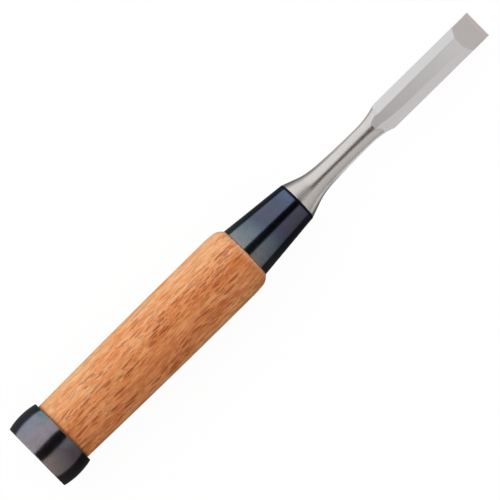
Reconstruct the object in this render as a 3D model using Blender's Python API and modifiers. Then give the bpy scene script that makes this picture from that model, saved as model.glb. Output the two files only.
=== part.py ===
# Japanese striking chisel, 12 mm: laminated blade with a forged neck and tang,
# conical steel ferrule, turned oak handle and a steel striking hoop.
#
# Frame: origin at the centre of the striking face (the butt of the handle),
# +X along the handle axis towards the cutting edge, +Z towards the bevel side
# of the blade, flat back of the blade facing -Z. Metres.

import math

import bpy
import bmesh
from mathutils import Matrix, Vector

MM = 0.001

# ---------------------------------------------------------------- dimensions
OVERALL = 233.3 * MM          # butt to cutting edge
GAP = 0.30 * MM               # clearance kept between neighbouring solids
WELD_GAP = 0.15 * MM          # clearance kept along the forge-weld plane
TURN_STEPS = 48               # segments round every turned piece

# striking hoop: a short barrel-shaped ring
HOOP_LENGTH = 13.7 * MM
HOOP_R_MID = 15.58 * MM       # outer radius at the fullest point
HOOP_BARREL_R = 28.0 * MM     # radius of the barrel's lengthwise arc
HOOP_BORE_R = 13.25 * MM
HOOP_EDGE = 0.45 * MM         # broken outer edges
HOOP_BORE_EDGE = 0.25 * MM

# handle
SEAT_R = HOOP_BORE_R - GAP    # reduced seat that the hoop is driven on to
SEAT_END = HOOP_LENGTH + GAP
BODY_R_REAR = 13.20 * MM      # radius just in front of the hoop
BODY_R_FULL = 13.83 * MM      # fullest radius
BODY_X_FULL = 84.0 * MM
BODY_X_FRONT = 102.05 * MM     # end of the plain turned body
BODY_R_FRONT = 13.76 * MM
SHOULDER_ARC_R = 5.60 * MM    # rounded front shoulder, an arc about this centre
SHOULDER_ARC_X = 104.83 * MM
SHOULDER_ARC_Y = 7.93 * MM

# ferrule: conical tube between handle and neck
FERRULE_X0 = 109.45 * MM
FERRULE_X1 = 137.15 * MM
FERRULE_R0 = 11.26 * MM       # outer radius at the handle
FERRULE_R1 = 8.51 * MM        # outer radius at the neck
FERRULE_WALL = 1.30 * MM
FERRULE_EDGE = 0.30 * MM

# neck and tang
NECK_X0 = FERRULE_X1 + GAP    # shoulder that bears on the ferrule's end
NECK_R0 = 8.28 * MM
NECK_CONE = 0.365             # taper of the flare, radius per length
NECK_CONE_END = 143.0 * MM
NECK_FILLET_END = 152.8 * MM
NECK_R_FILLET = 4.60 * MM
NECK_DRAW = 0.05              # slow taper of the neck after the flare
NECK_R_MIN = 4.16 * MM
NECK_X_MIN = 170.5 * MM
NECK_HALF_THICK = 3.05 * MM   # half thickness where the neck meets the blade
NECK_ROUND_TO = 152.8 * MM    # the section is round up to here
TANG_LENGTH = 63.0 * MM
TANG_HALF_ROOT = 3.4 * MM     # half width of the square tang at the shoulder
TANG_HALF_TIP = 1.8 * MM

# blade
BLADE_W = 12.0 * MM
FLARE_X0 = 171.8 * MM         # the sides start to spread
FLARE_R = 34.9 * MM           # radius of the concave spread
FLARE_X1 = 182.7 * MM
BLADE_X0 = 184.2 * MM         # full width from here
BACK_Z = -3.20 * MM           # plane of the flat back
FLAT_X0 = 177.6 * MM          # the top flat runs out into the neck here
FLAT_Z0 = 3.10 * MM
HEEL_X = 222.65 * MM          # rear end of the cutting bevel on the top flat
HEEL_Z = 2.50 * MM
FACET_HALF_REAR = 2.20 * MM   # half width of the top flat at FACET_X_REAR
FACET_X_REAR = 190.0 * MM
FACET_HALF_HEEL = 2.70 * MM   # half width of the top flat at the heel
FACET_SLOPE = 0.294           # fall of the side facets, height per width
BLANK_HALF = BLADE_W / 2 * math.tan(math.radians(30.0))   # blank before grinding

# hard cutting steel forge-welded under the blade
STEEL_T = 1.25 * MM
STEEL_X0 = 187.0 * MM
HOLLOW_DEPTH = 0.35 * MM      # hollow ground in the flat back
HOLLOW_X0 = 191.0 * MM
HOLLOW_X1 = 230.2 * MM
HOLLOW_HALF = 4.6 * MM
HOLLOW_CORNER = 3.2 * MM


# ------------------------------------------------------------------- helpers
def clear_scene():
    for obj in list(bpy.data.objects):
        bpy.data.objects.remove(obj, do_unlink=True)


def collection(name):
    col = bpy.data.collections.new(name)
    bpy.context.scene.collection.children.link(col)
    return col


def material(name, colour, roughness, metallic):
    mat = bpy.data.materials.new(name)
    mat.use_nodes = True
    bsdf = mat.node_tree.nodes["Principled BSDF"]
    bsdf.inputs["Base Color"].default_value = (*colour, 1.0)
    bsdf.inputs["Roughness"].default_value = roughness
    bsdf.inputs["Metallic"].default_value = metallic
    return mat


def link_mesh(name, mesh, col, mat=None):
    obj = bpy.data.objects.new(name, mesh)
    col.objects.link(obj)
    if mat is not None:
        mesh.materials.append(mat)
    return obj


def turned(name, profile, closed, col, mat):
    """A turned piece: (x, radius) points that run down the outer side, from
    the front end to the rear, screwed about the local Z axis and laid along +X."""
    verts = [(r, 0.0, x) for x, r in profile]
    edges = [(i, i + 1) for i in range(len(verts) - 1)]
    if closed:
        edges.append((len(verts) - 1, 0))
    mesh = bpy.data.meshes.new(name)
    mesh.from_pydata(verts, edges, [])
    obj = link_mesh(name, mesh, col, mat)
    screw = obj.modifiers.new("turn", "SCREW")
    screw.axis = "Z"
    screw.angle = 2.0 * math.pi
    screw.steps = TURN_STEPS
    screw.render_steps = TURN_STEPS
    screw.use_merge_vertices = True
    screw.merge_threshold = 0.00001
    screw.use_smooth_shade = True
    obj.rotation_euler = (0.0, math.radians(90.0), 0.0)
    obj.parent = ROOT
    return obj


def arc(cx, cy, r, a0, a1, count):
    """Points (x, y) on an arc, angles in degrees."""
    pts = []
    for i in range(count + 1):
        a = math.radians(a0 + (a1 - a0) * i / count)
        pts.append((cx + r * math.cos(a), cy + r * math.sin(a)))
    return pts


def smooth(t):
    t = min(1.0, max(0.0, t))
    return t * t * (3.0 - 2.0 * t)


def hermite(x, x0, y0, m0, x1, y1, m1):
    """Cubic from (x0, y0) with slope m0 to (x1, y1) with slope m1."""
    h = x1 - x0
    t = (x - x0) / h
    return ((2 * t ** 3 - 3 * t ** 2 + 1) * y0 + (t ** 3 - 2 * t ** 2 + t) * h * m0
            + (-2 * t ** 3 + 3 * t ** 2) * y1 + (t ** 3 - t ** 2) * h * m1)


def loft(name, rings, col, mat):
    """Skins a list of rings of equal length and caps both ends."""
    bm = bmesh.new()
    rows = [[bm.verts.new(p) for p in ring] for ring in rings]
    n = len(rows[0])
    for a, b in zip(rows, rows[1:]):
        for i in range(n):
            j = (i + 1) % n
            bm.faces.new((a[i], a[j], b[j], b[i]))
    bmesh.ops.triangulate(bm, faces=bm.faces)
    bm.faces.new(list(reversed(rows[0])))
    bm.faces.new(rows[-1])
    bmesh.ops.recalc_face_normals(bm, faces=bm.faces)
    mesh = bpy.data.meshes.new(name)
    bm.to_mesh(mesh)
    bm.free()
    obj = link_mesh(name, mesh, col, mat)
    obj.parent = ROOT
    return obj


def cutter(obj):
    obj.display_type = "WIRE"
    obj.hide_render = True
    return obj


def box_cutter(name, low, high, matrix=None):
    """A box from low to high, in the frame given by matrix."""
    bm = bmesh.new()
    bmesh.ops.create_cube(bm, size=1.0)
    low, high = Vector(low), Vector(high)
    size = high - low
    bmesh.ops.scale(bm, vec=size, verts=bm.verts)
    bmesh.ops.translate(bm, vec=(low + high) / 2, verts=bm.verts)
    mesh = bpy.data.meshes.new(name)
    bm.to_mesh(mesh)
    bm.free()
    obj = link_mesh(name, mesh, CUTTERS)
    if matrix is not None:
        obj.matrix_world = matrix
    return cutter(obj)


def plane_cutter(name, point, normal, along=(1.0, 0.0, 0.0), half=60 * MM, height=14 * MM):
    """A box that removes everything above the plane through point."""
    z = Vector(normal).normalized()
    x = Vector(along)
    x = (x - z * x.dot(z)).normalized()
    y = z.cross(x)
    m = Matrix((x, y, z)).transposed().to_4x4()
    m.translation = Vector(point)
    return box_cutter(name, (-half, -half, 0.0), (half, half, height), m)


def subtract(obj, tool):
    mod = obj.modifiers.new("cut_" + tool.name, "BOOLEAN")
    mod.operation = "DIFFERENCE"
    mod.solver = "EXACT"
    mod.object = tool
    return mod


def smooth_shading(obj, degrees=32.0):
    obj.data.shade_smooth()
    obj.data.set_sharp_from_angle(angle=math.radians(degrees))


# --------------------------------------------------------------------- hoop
def hoop_outer(x):
    mid = HOOP_LENGTH / 2
    return HOOP_R_MID - HOOP_BARREL_R + math.sqrt(HOOP_BARREL_R ** 2 - (x - mid) ** 2)


def make_hoop(mat):
    e, b = HOOP_EDGE, HOOP_BORE_EDGE
    x1 = HOOP_LENGTH
    outer = []
    count = 10
    for i in range(count + 1):
        x = x1 - e - (x1 - 2 * e) * i / count
        outer.append((x, hoop_outer(x)))
    r_end = hoop_outer(e)
    profile = [(x1, r_end - e), (x1 - 0.3 * e, r_end - 0.3 * e)] + outer
    profile += [(0.3 * e, r_end - 0.3 * e), (0.0, r_end - e)]
    profile += [(0.0, HOOP_BORE_R + b), (b, HOOP_BORE_R),
                (x1 - b, HOOP_BORE_R), (x1, HOOP_BORE_R + b)]
    return turned("hoop", profile, True, PARTS, mat)


# ------------------------------------------------------------------ ferrule
def ferrule_outer(x):
    t = (x - FERRULE_X0) / (FERRULE_X1 - FERRULE_X0)
    return FERRULE_R0 + (FERRULE_R1 - FERRULE_R0) * t


def make_ferrule(mat):
    e = FERRULE_EDGE
    x0, x1, w = FERRULE_X0, FERRULE_X1, FERRULE_WALL
    r = ferrule_outer
    profile = [(x1, r(x1) - e), (x1 - 0.3 * e, r(x1) - 0.3 * e), (x1 - e, r(x1 - e)),
               ((x0 + x1) / 2, r((x0 + x1) / 2)),
               (x0 + e, r(x0 + e)), (x0, r(x0) - e),
               (x0, r(x0) - w), (x1, r(x1) - w)]
    return turned("ferrule", profile, True, PARTS, mat)


# ------------------------------------------------------------------- handle
def handle_body(x):
    """Outer radius of the turned body between the hoop and the shoulder."""
    if x <= BODY_X_FULL:
        t = (x - SEAT_END) / (BODY_X_FULL - SEAT_END)
        return BODY_R_REAR + (BODY_R_FULL - BODY_R_REAR) * math.sin(t * math.pi / 2)
    t = (x - BODY_X_FULL) / (BODY_X_FRONT - BODY_X_FULL)
    return BODY_R_FULL + (BODY_R_FRONT - BODY_R_FULL) * t * t


def make_handle(mat):
    tenon_x = FERRULE_X1 - 0.8 * MM
    tenon_r = [ferrule_outer(x) - FERRULE_WALL - GAP for x in (tenon_x, FERRULE_X0)]
    profile = [(tenon_x, 0.0), (tenon_x, tenon_r[0] - 0.4 * MM),
               (tenon_x - 0.4 * MM, tenon_r[0] + 0.02 * MM)]
    profile += [(FERRULE_X0 - GAP, tenon_r[1] + 0.02 * MM)]
    # rounded front shoulder, ending on a slope at the ferrule
    a0 = math.degrees(math.asin((FERRULE_X0 - GAP - SHOULDER_ARC_X) / SHOULDER_ARC_R))
    profile += arc(SHOULDER_ARC_X, SHOULDER_ARC_Y, SHOULDER_ARC_R, 90.0 - a0, 86.0, 8)
    profile.append((BODY_X_FRONT, BODY_R_FRONT))
    count = 9
    for i in range(1, count + 1):
        x = BODY_X_FRONT + (SEAT_END - BODY_X_FRONT) * i / count
        profile.append((x, handle_body(x)))
    profile += [(SEAT_END, SEAT_R), (0.5 * MM, SEAT_R), (0.0, SEAT_R - 0.5 * MM), (0.0, 0.0)]
    obj = turned("handle", profile, False, PARTS, mat)

    # square tapered mortise for the tang, open at the front
    root = TANG_HALF_ROOT + GAP
    tip = TANG_HALF_TIP + GAP
    x_tip = NECK_X0 - TANG_LENGTH - 1.0 * MM
    x_open = NECK_X0 + 2.0 * MM
    length = x_open - x_tip
    bm = bmesh.new()
    bmesh.ops.create_cone(bm, cap_ends=True, segments=4, radius1=tip * math.sqrt(2),
                          radius2=root * math.sqrt(2), depth=length)
    bmesh.ops.rotate(bm, cent=(0, 0, 0), matrix=Matrix.Rotation(math.radians(45), 3, "Z"),
                     verts=bm.verts)
    bmesh.ops.translate(bm, vec=(0, 0, x_tip + length / 2), verts=bm.verts)
    mesh = bpy.data.meshes.new("tang_mortise")
    bm.to_mesh(mesh)
    bm.free()
    tool = link_mesh("tang_mortise", mesh, CUTTERS)
    tool.rotation_euler = (0.0, math.radians(90.0), 0.0)
    cutter(tool)
    subtract(obj, tool)
    return obj


# -------------------------------------------------------------------- blade
RING_POINTS = 48


def half_width(x):
    """Half width of the forging, seen from above."""
    if x <= NECK_CONE_END:
        return NECK_R0 - NECK_CONE * (x - NECK_X0)
    r_cone = NECK_R0 - NECK_CONE * (NECK_CONE_END - NECK_X0)
    if x <= NECK_FILLET_END:
        return hermite(x, NECK_CONE_END, r_cone, -NECK_CONE,
                       NECK_FILLET_END, NECK_R_FILLET, -NECK_DRAW)
    if x <= NECK_X_MIN:
        return hermite(x, NECK_FILLET_END, NECK_R_FILLET, -NECK_DRAW,
                       NECK_X_MIN, NECK_R_MIN, 0.0)
    if x <= FLARE_X0:
        return NECK_R_MIN
    flare = lambda u: NECK_R_MIN + FLARE_R - math.sqrt(FLARE_R ** 2 - (u - FLARE_X0) ** 2)
    if x <= FLARE_X1:
        return flare(x)
    if x <= BLADE_X0:
        slope = (FLARE_X1 - FLARE_X0) / math.sqrt(FLARE_R ** 2 - (FLARE_X1 - FLARE_X0) ** 2)
        return min(BLADE_W / 2,
                   hermite(x, FLARE_X1, flare(FLARE_X1), 0.25 * slope, BLADE_X0, BLADE_W / 2, 0.0))
    return BLADE_W / 2


def half_thick(x):
    """Half thickness of the forging before the top and back are ground."""
    if x <= NECK_ROUND_TO:
        return half_width(x)
    if x <= FLARE_X0:
        return hermite(x, NECK_ROUND_TO, half_width(NECK_ROUND_TO), -0.05,
                       FLARE_X0, NECK_HALF_THICK, -0.01)
    if x <= FLARE_X1:
        return hermite(x, FLARE_X0, NECK_HALF_THICK, -0.01, FLARE_X1, BLANK_HALF, 0.03)
    return BLANK_HALF


def squareness(x):
    """Exponent of the section: 2 is an ellipse, large is a rectangle."""
    t = smooth((x - 175.4 * MM) / (FLARE_X1 - 175.4 * MM))
    return 2.0 + 10.0 * t ** 1.6


def section(x, a, b, power):
    ring = []
    for i in range(RING_POINTS):
        phi = 2.0 * math.pi * i / RING_POINTS
        c, s = abs(math.cos(phi)), abs(math.sin(phi))
        if power is None:
            r = 1.0 / max(c / a, s / b)
        else:
            r = ((c / a) ** power + (s / b) ** power) ** (-1.0 / power)
        ring.append((x, r * math.cos(phi), r * math.sin(phi)))
    return ring


def make_blade(mat):
    rings = []
    x_tip = NECK_X0 - TANG_LENGTH
    rings.append(section(x_tip, TANG_HALF_TIP - 0.5 * MM, TANG_HALF_TIP - 0.5 * MM, None))
    rings.append(section(x_tip + 1.5 * MM, TANG_HALF_TIP, TANG_HALF_TIP, None))
    rings.append(section(NECK_X0, TANG_HALF_ROOT, TANG_HALF_ROOT, None))
    stations = [NECK_X0]
    stations += [NECK_X0 + (NECK_CONE_END - NECK_X0) * 1.0]
    for i in range(1, 7):
        stations.append(NECK_CONE_END + (NECK_FILLET_END - NECK_CONE_END) * i / 6)
    for i in range(1, 6):
        stations.append(NECK_FILLET_END + (FLARE_X0 - NECK_FILLET_END) * i / 5)
    for i in range(1, 12):
        stations.append(FLARE_X0 + (FLARE_X1 - FLARE_X0) * i / 11)
    for x in stations:
        rings.append(section(x, half_width(x), half_thick(x), squareness(x)))
    rings.append(section((FLARE_X1 + BLADE_X0) / 2, half_width((FLARE_X1 + BLADE_X0) / 2),
                         BLANK_HALF, 24.0))
    rings.append(section(BLADE_X0, BLADE_W / 2, BLANK_HALF, None))
    rings.append(section(OVERALL + 3 * MM, BLADE_W / 2, BLANK_HALF, None))
    obj = loft("blade_body", rings, PARTS, mat)

    # ground top flat, falling gently towards the edge
    fall = (FLAT_Z0 - HEEL_Z) / (HEEL_X - FLAT_X0)
    flat_z = lambda x: FLAT_Z0 - fall * (x - FLAT_X0)
    mid_x = (FLAT_X0 + OVERALL) / 2
    subtract(obj, plane_cutter("top_flat", (mid_x, 0, flat_z(mid_x)), (fall, 0, 1), half=32 * MM))

    # side facets of the top
    z_rear = flat_z(FACET_X_REAR) + FACET_SLOPE * FACET_HALF_REAR
    z_heel = flat_z(HEEL_X) + FACET_SLOPE * FACET_HALF_HEEL
    facet_fall = (z_rear - z_heel) / (HEEL_X - FACET_X_REAR)
    z_mid = z_rear - facet_fall * (mid_x - FACET_X_REAR)
    for name, side in (("facet_left", 1), ("facet_right", -1)):
        subtract(obj, plane_cutter(name, (mid_x, 0, z_mid),
                                   (facet_fall, side * FACET_SLOPE, 1), half=32 * MM))

    # flat back, and the seat of the cutting steel above it
    subtract(obj, box_cutter("back_grind", (174 * MM, -20 * MM, -20 * MM),
                             (250 * MM, 20 * MM, BACK_Z)))
    subtract(obj, box_cutter("steel_seat", (STEEL_X0 - WELD_GAP, -21 * MM, -21 * MM),
                             (251 * MM, 21 * MM, BACK_Z + STEEL_T + WELD_GAP)))
    subtract(obj, bevel_cutter("bevel_body"))
    smooth_shading(obj, 18.0)
    return obj


def bevel_cutter(name):
    tan = (HEEL_Z - BACK_Z) / (OVERALL - HEEL_X)
    return plane_cutter(name, (OVERALL, 0, BACK_Z), (tan, 0, 1), half=40 * MM, height=30 * MM)


def make_cutting_steel(mat):
    bm = bmesh.new()
    bmesh.ops.create_cube(bm, size=1.0)
    x1 = OVERALL + 2 * MM
    bmesh.ops.scale(bm, vec=(x1 - STEEL_X0, BLADE_W, STEEL_T), verts=bm.verts)
    bmesh.ops.translate(bm, vec=((x1 + STEEL_X0) / 2, 0, BACK_Z + STEEL_T / 2), verts=bm.verts)
    mesh = bpy.data.meshes.new("cutting_steel")
    bm.to_mesh(mesh)
    bm.free()
    obj = link_mesh("cutting_steel", mesh, PARTS, mat)
    obj.parent = ROOT
    subtract(obj, bevel_cutter("bevel_steel"))

    # shallow hollow in the back, with rounded corners
    bm = bmesh.new()
    bmesh.ops.create_cube(bm, size=1.0)
    bmesh.ops.scale(bm, vec=(HOLLOW_X1 - HOLLOW_X0, 2 * HOLLOW_HALF, 2 * HOLLOW_DEPTH),
                    verts=bm.verts)
    upright = [e for e in bm.edges
               if abs(e.verts[0].co.z - e.verts[1].co.z) > HOLLOW_DEPTH]
    bmesh.ops.bevel(bm, geom=upright, offset=HOLLOW_CORNER, segments=6, profile=0.5,
                    affect="EDGES")
    bmesh.ops.translate(bm, vec=((HOLLOW_X0 + HOLLOW_X1) / 2, 0, BACK_Z), verts=bm.verts)
    mesh = bpy.data.meshes.new("back_hollow")
    bm.to_mesh(mesh)
    bm.free()
    tool = cutter(link_mesh("back_hollow", mesh, CUTTERS))
    subtract(obj, tool)
    return obj


# --------------------------------------------------------------------- build
clear_scene()
PARTS = collection("japanese_chisel")
CUTTERS = collection("cutters")

ROOT = bpy.data.objects.new("chisel_root", None)
ROOT.empty_display_size = 0.02
PARTS.objects.link(ROOT)

oak = material("oak", (0.56, 0.26, 0.12), 0.55, 0.0)
blued_hoop = material("blued_hoop_steel", (0.10, 0.11, 0.13), 0.32, 1.0)
blued_ferrule = material("blued_ferrule_steel", (0.07, 0.09, 0.14), 0.28, 1.0)
soft_iron = material("soft_iron", (0.60, 0.59, 0.58), 0.38, 1.0)
hard_steel = material("hard_steel", (0.68, 0.67, 0.67), 0.25, 1.0)

make_handle(oak)
make_hoop(blued_hoop)
make_ferrule(blued_ferrule)
make_blade(soft_iron)
make_cutting_steel(hard_steel)
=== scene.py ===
"""Looks of the striking chisel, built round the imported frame.

Frame: origin at the centre of the striking face, +X towards the cutting edge,
+Z the bevel side, metres. Lengths below are in millimetres until a mesh is made.
"""

import math

import bpy
import numpy as np
from mathutils import Matrix, Vector, noise


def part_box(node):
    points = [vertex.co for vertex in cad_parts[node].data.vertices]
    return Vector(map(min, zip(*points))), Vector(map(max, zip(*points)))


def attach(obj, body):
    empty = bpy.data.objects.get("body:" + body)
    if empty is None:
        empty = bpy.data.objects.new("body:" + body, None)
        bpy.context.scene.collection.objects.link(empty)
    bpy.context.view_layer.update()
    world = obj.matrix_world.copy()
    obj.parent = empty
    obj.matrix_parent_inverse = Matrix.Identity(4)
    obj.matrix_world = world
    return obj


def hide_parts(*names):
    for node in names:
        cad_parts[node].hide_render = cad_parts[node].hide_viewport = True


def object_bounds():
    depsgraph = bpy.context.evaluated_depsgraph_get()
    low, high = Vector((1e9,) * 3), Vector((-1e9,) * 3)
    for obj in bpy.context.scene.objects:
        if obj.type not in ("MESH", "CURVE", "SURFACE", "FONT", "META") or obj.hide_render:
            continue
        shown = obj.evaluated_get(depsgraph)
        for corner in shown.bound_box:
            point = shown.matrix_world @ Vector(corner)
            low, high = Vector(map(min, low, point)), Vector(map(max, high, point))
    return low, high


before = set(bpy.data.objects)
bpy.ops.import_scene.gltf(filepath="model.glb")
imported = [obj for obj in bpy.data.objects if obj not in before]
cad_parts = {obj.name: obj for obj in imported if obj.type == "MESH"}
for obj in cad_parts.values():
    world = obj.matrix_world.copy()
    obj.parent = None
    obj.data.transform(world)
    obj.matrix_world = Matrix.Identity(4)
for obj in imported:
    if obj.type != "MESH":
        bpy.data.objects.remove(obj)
CAD_BOX = [list(map(float, c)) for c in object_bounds()]
MM = 0.001


def mm_box(node):
    lo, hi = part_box(node)
    return [v * 1000 for v in lo], [v * 1000 for v in hi]


HOOP = mm_box("hoop")
HANDLE = mm_box("handle")
FERRULE = mm_box("ferrule")
BODY = mm_box("blade_body")
STEEL = mm_box("cutting_steel")


# ------------------------------------------------------------------ mesh helpers
def new_object(name, verts, faces, smooth=True, sharp=None):
    mesh = bpy.data.meshes.new(name)
    mesh.from_pydata([(x * MM, y * MM, z * MM) for x, y, z in verts], [], faces)
    mesh.validate()
    mesh.update()
    obj = bpy.data.objects.new(name, mesh)
    bpy.context.scene.collection.objects.link(obj)
    if smooth:
        mesh.shade_smooth()
    if sharp is not None:
        mesh.set_sharp_from_angle(angle=math.radians(sharp))
    return obj


def wobble(x, a, seed, wave, amp, radius):
    """Small forging or turning irregularity of a round surface at (x, angle), in mm."""
    if amp == 0:
        return 0.0
    p = Vector((x / wave + seed * 13.7, radius * math.cos(a) / wave, radius * math.sin(a) / wave))
    return amp * noise.noise(p)


def lathe(name, profile, steps, closed, wob=None, sharp=None):
    """Turns (x, r) points about X. profile runs along the outside from the front
    end to the rear; closed joins its ends (a ring), otherwise both ends are on the axis."""
    verts, faces = [], []
    rows = []
    for x, r in profile:
        if r < 1e-9:
            rows.append([len(verts)] * steps)
            verts.append((x, 0.0, 0.0))
            continue
        row = []
        for k in range(steps):
            a = 2 * math.pi * k / steps
            rr = r + (wob(x, a, r) if wob else 0.0)
            row.append(len(verts))
            verts.append((x, rr * math.cos(a), rr * math.sin(a)))
        rows.append(row)
    pairs = list(zip(rows, rows[1:]))
    if closed:
        pairs.append((rows[-1], rows[0]))
    for p, q in pairs:
        for k in range(steps):
            j = (k + 1) % steps
            f = [p[k], p[j], q[j], q[k]]
            g = []
            for v in f:
                if v not in g:
                    g.append(v)
            if len(g) > 2:
                faces.append(tuple(g))
    return new_object(name, verts, faces, sharp=sharp)


def round_corner(p, q, s, radius, count=5):
    """Points that round the corner q of the path p-q-s with an arc."""
    p, q, s = (np.array(v, float) for v in (p, q, s))
    a, b = (p - q), (s - q)
    la, lb = np.linalg.norm(a), np.linalg.norm(b)
    a, b = a / la, b / lb
    half = math.acos(max(-1, min(1, float(a @ b)))) / 2
    d = min(radius / math.tan(half), 0.45 * la, 0.45 * lb)
    r = d * math.tan(half)
    centre = q + (a + b) / np.linalg.norm(a + b) * (r / math.sin(half))
    u, v = q + a * d - centre, q + b * d - centre
    ang = math.acos(max(-1, min(1, float(u @ v) / (r * r))))
    out = []
    for i in range(count + 1):
        t = i / count
        w = (math.sin((1 - t) * ang) * u + math.sin(t * ang) * v) / math.sin(ang)
        out.append(tuple(centre + w))
    return out


def smooth(t):
    t = min(1.0, max(0.0, t))
    return t * t * (3 - 2 * t)


def step(x, a, b):
    return smooth((x - a) / (b - a))


def hermite(x, x0, y0, m0, x1, y1, m1):
    h = x1 - x0
    t = (x - x0) / h
    return ((2 * t ** 3 - 3 * t ** 2 + 1) * y0 + (t ** 3 - 2 * t ** 2 + t) * h * m0
            + (-2 * t ** 3 + 3 * t ** 2) * y1 + (t ** 3 - t ** 2) * h * m1)


def spread(a, b, n):
    return [a + (b - a) * i / n for i in range(n + 1)]


def ride(obj, node):
    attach(obj, "root")
    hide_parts(node)
    return obj


# ------------------------------------------------------------------------- hoop
def ring_profile(x0, x1, outer, bore, e_out, e_in, n):
    """Closed profile of a ring, front outer edge first, then along the outside to the
    rear, down the rear face, forward through the bore and up the front face."""
    p = []
    p += round_corner((x1, bore(x1) + 0.3), (x1, outer(x1)), (x1 - 1.5, outer(x1 - 1.5)), e_out, 7)
    p += [(x, outer(x)) for x in spread(x1 - 0.9, x0 + 0.9, n)]
    p += round_corner((x0 + 1.5, outer(x0 + 1.5)), (x0, outer(x0)), (x0, bore(x0) + 0.3), e_out, 7)
    p += round_corner((x0, outer(x0) - 0.3), (x0, bore(x0)), (x0 + 1.5, bore(x0 + 1.5)), e_in, 5)
    p += [(x, bore(x)) for x in spread(x0 + 0.9, x1 - 0.9, 8)]
    p += round_corner((x1 - 1.5, bore(x1 - 1.5)), (x1, bore(x1)), (x1, outer(x1) - 0.3), e_in, 5)
    return p


def build_hoop():
    x0, x1 = HOOP[0][0] + 0.02, HOOP[1][0] - 0.02
    r_mid = HOOP[1][1] - 0.05
    mid, barrel, bore = (x0 + x1) / 2, 28.0, 13.27
    outer = lambda x: r_mid - barrel + math.sqrt(barrel ** 2 - (x - mid) ** 2)
    prof = ring_profile(x0, x1, outer, lambda x: bore, 0.36, 0.3, 44)

    def wob(x, a, r):
        if r < 13.6:
            return 0.0
        return (wobble(x, a, 1, 7.5, 0.040, r) + wobble(x, a, 2, 2.6, 0.008, r))

    obj = lathe("hoop_forged", prof, 240, True, wob)
    return ride(obj, "hoop")


# ---------------------------------------------------------------------- ferrule
def build_ferrule():
    x0, x1 = FERRULE[0][0] - 0.12, FERRULE[1][0] + 0.05
    r0, r1 = 11.25, 8.50
    lx0, lx1 = 109.45, 137.15
    outer = lambda x: r0 + (r1 - r0) * (x - lx0) / (lx1 - lx0)
    bore = lambda x: outer(x) - 1.3
    prof = ring_profile(x0, x1, outer, bore, 0.26, 0.15, 60)

    def wob(x, a, r):
        if r < bore(x) + 0.4:
            return 0.0
        return wobble(x, a, 3, 9.0, 0.022, r)

    obj = lathe("ferrule_cone", prof, 200, True, wob)
    return ride(obj, "ferrule")


# ----------------------------------------------------------------------- handle
def build_handle():
    seat_end = HOOP[1][0] + 0.1
    full_x, full_r = 84.0, 13.81
    front_x, front_r = 102.05, 13.755

    def body(x):
        if x <= full_x:
            t = (x - seat_end) / (full_x - seat_end)
            return 13.17 + (full_r - 13.17) * math.sin(t * math.pi / 2)
        t = (x - full_x) / (front_x - full_x)
        return full_r + (front_r - full_r) * t * t

    tenon = lambda x: 11.25 - 2.75 * (x - 109.45) / 27.70 - 1.3 - 0.12
    prof = [(136.2, 0.0), (136.2, 2.0), (136.2, tenon(136.2) - 0.4), (135.8, tenon(135.8))]
    prof += [(x, tenon(x)) for x in spread(134.6, 111.0, 6)]
    prof += [(109.38, tenon(109.38)), (109.35, 9.9), (109.32, 10.9)]
    # rounded front shoulder: an arc that meets the ferrule on a slope
    ax, ar, rad = 104.83, 7.93, 5.6
    for i in range(25):
        al = math.radians(53.8 - 49.8 * i / 24)
        prof.append((ax + rad * math.sin(al), ar + rad * math.cos(al)))
    prof += [(104.5, 13.575), (103.75, 13.64), (102.85, 13.70), (102.05, front_r)]
    prof += [(x, body(x)) for x in spread(101.1, seat_end + 0.35, 90)]
    prof += [(seat_end + 0.12, 13.13), (seat_end, 13.05)]
    seat = 13.2
    prof += [(seat_end - 0.02, 13.04), (seat_end - 0.3, seat), (8.0, seat), (3.0, seat), (1.2, seat)]
    prof += [(0.62, seat - 0.03), (0.36, seat - 0.14), (0.2, seat - 0.34), (0.1, seat - 0.7),
             (0.05, seat - 1.3), (0.02, seat - 2.4), (0.01, 8.0), (0.01, 4.0), (0.01, 0.0)]

    def wob(x, a, r):
        if x < seat_end or x > 108 or r < 13.0:
            return 0.0
        k = step(x, seat_end, seat_end + 3)
        return k * wobble(x, a, 5, 16.0, 0.025, r)

    obj = lathe("oak_handle", prof, 224, False, wob)
    return ride(obj, "handle")


# ------------------------------------------------------------------------ blade
NECK_X0 = 137.45
BACK = -3.2
TIP = 233.3
HEEL_X, HEEL_Z = 222.65, 2.50
BEVEL = (HEEL_Z - BACK) / (TIP - HEEL_X)
HALF_W = 5.995
WELD_Z = -1.95
STEEL_X0 = 187.0


def neck_half_width(x):
    if x <= 143.0:
        return 8.28 - 0.365 * (x - NECK_X0)
    if x <= 152.8:
        return hermite(x, 143.0, 8.28 - 0.365 * (143.0 - NECK_X0), -0.365, 152.8, 4.60, -0.05)
    if x <= 170.5:
        return hermite(x, 152.8, 4.60, -0.05, 170.5, 4.16, 0.0)
    if x <= 171.8:
        return 4.16
    r = 34.9
    f = lambda u: 4.16 + r - math.sqrt(r * r - (u - 171.8) ** 2)
    if x <= 182.5:
        return f(x)
    m = (182.5 - 171.8) / math.sqrt(r * r - 10.7 ** 2)
    if x <= 184.3:
        return min(HALF_W, hermite(x, 182.5, f(182.5), m, 184.3, HALF_W, 0.0))
    return HALF_W


def neck_half_thick(x):
    if x <= 152.8:
        return neck_half_width(x)
    if x <= 171.8:
        return hermite(x, 152.8, 4.60, -0.05, 171.8, 3.05, -0.005)
    if x <= 182.7:
        return hermite(x, 171.8, 3.05, -0.005, 182.7, 3.66, 0.03)
    return 3.66


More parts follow.
